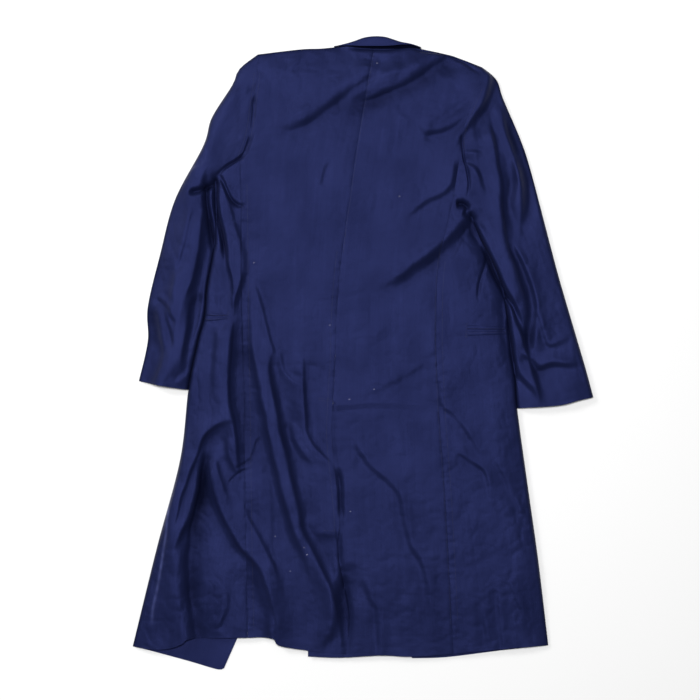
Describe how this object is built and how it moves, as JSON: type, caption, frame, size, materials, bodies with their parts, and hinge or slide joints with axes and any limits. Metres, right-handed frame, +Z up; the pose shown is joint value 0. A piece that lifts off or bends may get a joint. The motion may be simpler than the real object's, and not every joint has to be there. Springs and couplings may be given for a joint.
{
  "type": "overcoat",
  "caption": "Long unlined navy cotton overcoat laid flat with its back upwards: centre back seam, hem vent, side pockets and plain sleeves.",
  "frame": {"origin": "middle of the foot of the coat's bounding box, on the surface that it lies on", "axes": "+Y from the hem to the collar, +X across the coat as seen from above, +Z up from the surface, through the fronts to the back"},
  "size_m": [0.827, 1.137, 0.0146],
  "materials": {
    "coat_cloth": "woven navy cotton, matt with a faint sheen"
  },
  "bodies": {
    "root": {"back_left": "coat_cloth", "back_right": "coat_cloth", "collar": "coat_cloth", "front_left": "coat_cloth", "front_right": "coat_cloth", "pocket_lip_left": "coat_cloth", "pocket_lip_right": "coat_cloth", "sleeve_left": "coat_cloth", "sleeve_right": "coat_cloth"}
  },
  "joints": []
}
